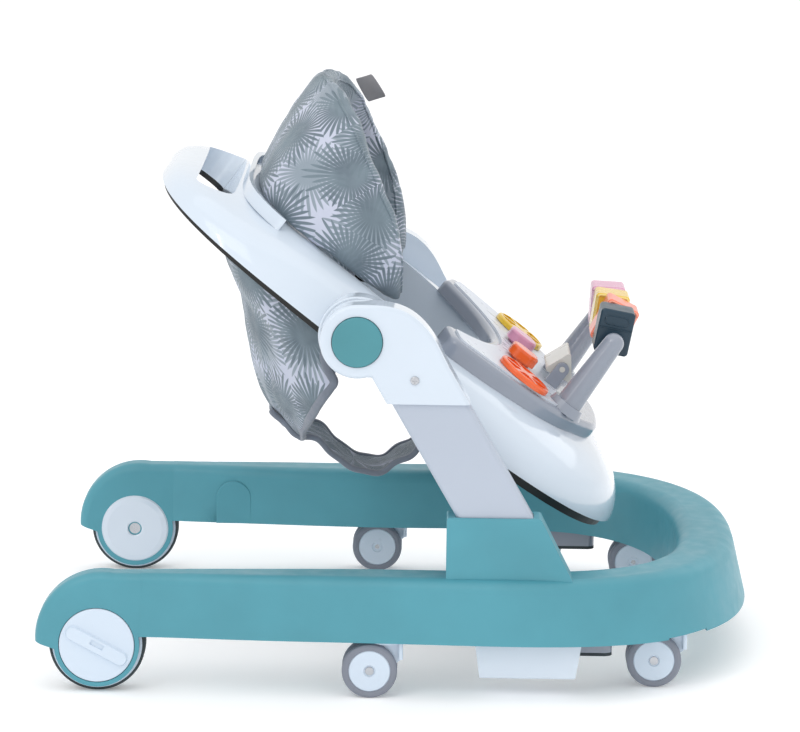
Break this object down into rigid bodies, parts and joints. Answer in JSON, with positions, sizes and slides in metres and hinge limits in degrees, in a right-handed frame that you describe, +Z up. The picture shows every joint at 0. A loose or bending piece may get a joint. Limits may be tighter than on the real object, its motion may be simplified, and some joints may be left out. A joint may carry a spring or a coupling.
{
  "type": "baby walker",
  "caption": "Baby walker: wheeled U-shaped base, sliding legs, tilting tray ring with padded seat, toy console with spinning blocks, push slot.",
  "frame": {"origin": "on the floor under the middle of the walker's bounding box", "axes": "+X to the front of the walker, +Y to the left of a child sitting in it, +Z up"},
  "size_m": [0.7081, 0.572, 0.5896],
  "materials": {
    "teal_plastic": "moulded, satin, fine grain",
    "cover_plastic": "moulded, unpolished underside",
    "white_plastic": "glossy, slightly cool white",
    "grey_plastic": "satin, smooth",
    "panel_plastic": "smooth white panel, satin",
    "black_plastic": "fine grain, low sheen",
    "caster_tyre": "soft grey tread, low sheen",
    "leg_tube_paint": "pale grey powder coat",
    "seat_fabric": "woven polyester over foam, printed pattern",
    "orange_plastic": "glossy",
    "yellow_plastic": "glossy",
    "pink_plastic": "glossy",
    "dark_teal_plastic": "glossy",
    "rubber_pads": "matt",
    "steel_pins": "bright zinc plate"
  },
  "bodies": {
    "base": {"base_shell": "teal_plastic", "base_bottom_cover": "cover_plastic", "right_leg_socket": "teal_plastic", "left_leg_socket": "teal_plastic", "stair_stop_plates": "grey_plastic", "stair_stop_pads": "rubber_pads", "caster_stem_cups": "cover_plastic", "rear_axles": "steel_pins", "rear_wheel_inner_caps": "white_plastic"},
    "legs": {"right_leg_tube": "leg_tube_paint", "left_leg_tube": "leg_tube_paint", "right_hinge_housing": "white_plastic", "left_hinge_housing": "white_plastic", "leg_screws": "steel_pins", "pivot_pins": "steel_pins"},
    "ring": {"ring_upper": "white_plastic", "ring_lower": "black_plastic", "console_base": "grey_plastic", "console_panel": "panel_plastic", "handle_arch": "grey_plastic", "seat_backrest": "seat_fabric", "seat_sling": "seat_fabric", "crotch_strap": "seat_fabric"},
    "right_hub_button_body": {"right_hub_button": "teal_plastic", "right_lock_gear": "grey_plastic"},
    "right_rear_wheel_body": {"right_rear_wheel": "white_plastic", "right_rear_tyre": "rubber_pads"},
    "right_speed_knob_body": {"right_speed_knob": "white_plastic"},
    "right_brake_foot_body": {"right_brake_foot": "white_plastic"},
    "right_front_caster_swivel": {"right_front_caster_fork": "white_plastic"},
    "right_front_caster_roller": {"right_front_caster_wheels": "white_plastic", "right_front_caster_tyres": "caster_tyre", "right_front_caster_axle": "steel_pins"},
    "right_middle_caster_swivel": {"right_middle_caster_fork": "white_plastic"},
    "right_middle_caster_roller": {"right_middle_caster_wheels": "white_plastic", "right_middle_caster_tyres": "caster_tyre", "right_middle_caster_axle": "steel_pins"},
    "left_hub_button_body": {"left_hub_button": "teal_plastic", "left_lock_gear": "grey_plastic"},
    "left_rear_wheel_body": {"left_rear_wheel": "white_plastic", "left_rear_tyre": "rubber_pads"},
    "left_speed_knob_body": {"left_speed_knob": "white_plastic"},
    "left_brake_foot_body": {"left_brake_foot": "white_plastic"},
    "left_front_caster_swivel": {"left_front_caster_fork": "white_plastic"},
    "left_front_caster_roller": {"left_front_caster_wheels": "white_plastic", "left_front_caster_tyres": "caster_tyre", "left_front_caster_axle": "steel_pins"},
    "left_middle_caster_swivel": {"left_middle_caster_fork": "white_plastic"},
    "left_middle_caster_roller": {"left_middle_caster_wheels": "white_plastic", "left_middle_caster_tyres": "caster_tyre", "left_middle_caster_axle": "steel_pins"},
    "teal_block_body": {"teal_block": "dark_teal_plastic"},
    "orange_block_body": {"orange_block": "orange_plastic"},
    "yellow_block_body": {"yellow_block": "yellow_plastic"},
    "pink_block_body": {"pink_block": "pink_plastic"},
    "orange_dial_body": {"orange_dial": "orange_plastic"},
    "yellow_dial_body": {"yellow_dial": "yellow_plastic"},
    "orange_knob_body": {"orange_knob": "orange_plastic"},
    "pink_knob_body": {"pink_knob": "pink_plastic"},
    "picture_roller_body": {"picture_roller": "yellow_plastic"}
  },
  "joints": [
    {"name": "height_slide", "type": "slide", "parent": "base", "child": "legs", "axis": [-0.5, 0, 0.866], "range_m": [0, 0.05]},
    {"name": "ring_tilt", "type": "hinge", "parent": "legs", "child": "ring", "pos_m": [-0.0436, 0, 0.3492], "axis": [0, 1, 0], "range_deg": [-37.5, 0]},
    {"name": "right_hub_button_press", "type": "slide", "parent": "legs", "child": "right_hub_button_body", "axis": [0, 1, 0], "range_m": [0, 0.005], "stiffness_N_per_m": 800},
    {"name": "right_rear_wheel_spin", "type": "hinge", "parent": "base", "child": "right_rear_wheel_body", "pos_m": [-0.2936, -0.251, 0.047], "axis": [0, 1, 0], "continuous": true},
    {"name": "right_speed_knob_turn", "type": "hinge", "parent": "base", "child": "right_speed_knob_body", "pos_m": [-0.2936, -0.267, 0.047], "axis": [0, 1, 0], "range_deg": [-45, 45]},
    {"name": "right_brake_foot_slide", "type": "slide", "parent": "base", "child": "right_brake_foot_body", "axis": [0, 0, -1], "range_m": [0, 0.017]},
    {"name": "right_front_caster_turn", "type": "hinge", "parent": "base", "child": "right_front_caster_swivel", "pos_m": [0.268, -0.207, 0.057], "axis": [0, 0, 1], "continuous": true},
    {"name": "right_front_caster_roll", "type": "hinge", "parent": "right_front_caster_swivel", "child": "right_front_caster_roller", "pos_m": [0.251, -0.207, 0.027], "axis": [0, 1, 0], "continuous": true},
    {"name": "right_middle_caster_turn", "type": "hinge", "parent": "base", "child": "right_middle_caster_swivel", "pos_m": [-0.011, -0.262, 0.057], "axis": [0, 0, 1], "continuous": true},
    {"name": "right_middle_caster_roll", "type": "hinge", "parent": "right_middle_caster_swivel", "child": "right_middle_caster_roller", "pos_m": [-0.028, -0.262, 0.027], "axis": [0, 1, 0], "continuous": true},
    {"name": "left_hub_button_press", "type": "slide", "parent": "legs", "child": "left_hub_button_body", "axis": [0, -1, 0], "range_m": [0, 0.005], "stiffness_N_per_m": 800},
    {"name": "left_rear_wheel_spin", "type": "hinge", "parent": "base", "child": "left_rear_wheel_body", "pos_m": [-0.2936, 0.251, 0.047], "axis": [0, 1, 0], "continuous": true},
    {"name": "left_speed_knob_turn", "type": "hinge", "parent": "base", "child": "left_speed_knob_body", "pos_m": [-0.2936, 0.267, 0.047], "axis": [0, 1, 0], "range_deg": [-45, 45]},
    {"name": "left_brake_foot_slide", "type": "slide", "parent": "base", "child": "left_brake_foot_body", "axis": [0, 0, -1], "range_m": [0, 0.017]},
    {"name": "left_front_caster_turn", "type": "hinge", "parent": "base", "child": "left_front_caster_swivel", "pos_m": [0.268, 0.207, 0.057], "axis": [0, 0, 1], "continuous": true},
    {"name": "left_front_caster_roll", "type": "hinge", "parent": "left_front_caster_swivel", "child": "left_front_caster_roller", "pos_m": [0.251, 0.207, 0.027], "axis": [0, 1, 0], "continuous": true},
    {"name": "left_middle_caster_turn", "type": "hinge", "parent": "base", "child": "left_middle_caster_swivel", "pos_m": [-0.011, 0.262, 0.057], "axis": [0, 0, 1], "continuous": true},
    {"name": "left_middle_caster_roll", "type": "hinge", "parent": "left_middle_caster_swivel", "child": "left_middle_caster_roller", "pos_m": [-0.028, 0.262, 0.027], "axis": [0, 1, 0], "continuous": true},
    {"name": "teal_block_spin", "type": "hinge", "parent": "ring", "child": "teal_block_body", "pos_m": [0.20952, -0.06975, 0.32261], "axis": [0, 1, 0], "continuous": true},
    {"name": "orange_block_spin", "type": "hinge", "parent": "ring", "child": "orange_block_body", "pos_m": [0.20952, -0.02325, 0.32261], "axis": [0, 1, 0], "continuous": true},
    {"name": "yellow_block_spin", "type": "hinge", "parent": "ring", "child": "yellow_block_body", "pos_m": [0.20952, 0.02325, 0.32261], "axis": [0, 1, 0], "continuous": true},
    {"name": "pink_block_spin", "type": "hinge", "parent": "ring", "child": "pink_block_body", "pos_m": [0.20952, 0.06975, 0.32261], "axis": [0, 1, 0], "continuous": true},
    {"name": "orange_dial_turn", "type": "hinge", "parent": "ring", "child": "orange_dial_body", "pos_m": [0.12079, -0.124, 0.29239], "axis": [0.6088, 0, 0.7934], "continuous": true},
    {"name": "yellow_dial_turn", "type": "hinge", "parent": "ring", "child": "yellow_dial_body", "pos_m": [0.12079, 0.124, 0.29239], "axis": [0.6088, 0, 0.7934], "continuous": true},
    {"name": "orange_knob_turn", "type": "hinge", "parent": "ring", "child": "orange_knob_body", "pos_m": [0.12145, -0.043, 0.29818], "axis": [0.6088, 0, 0.7934], "continuous": true},
    {"name": "pink_knob_turn", "type": "hinge", "parent": "ring", "child": "pink_knob_body", "pos_m": [0.12145, 0.043, 0.29818], "axis": [0.6088, 0, 0.7934], "continuous": true},
    {"name": "picture_roller_spin", "type": "hinge", "parent": "ring", "child": "picture_roller_body", "pos_m": [0.16128, 0, 0.28274], "axis": [0, 1, 0], "continuous": true}
  ]
}
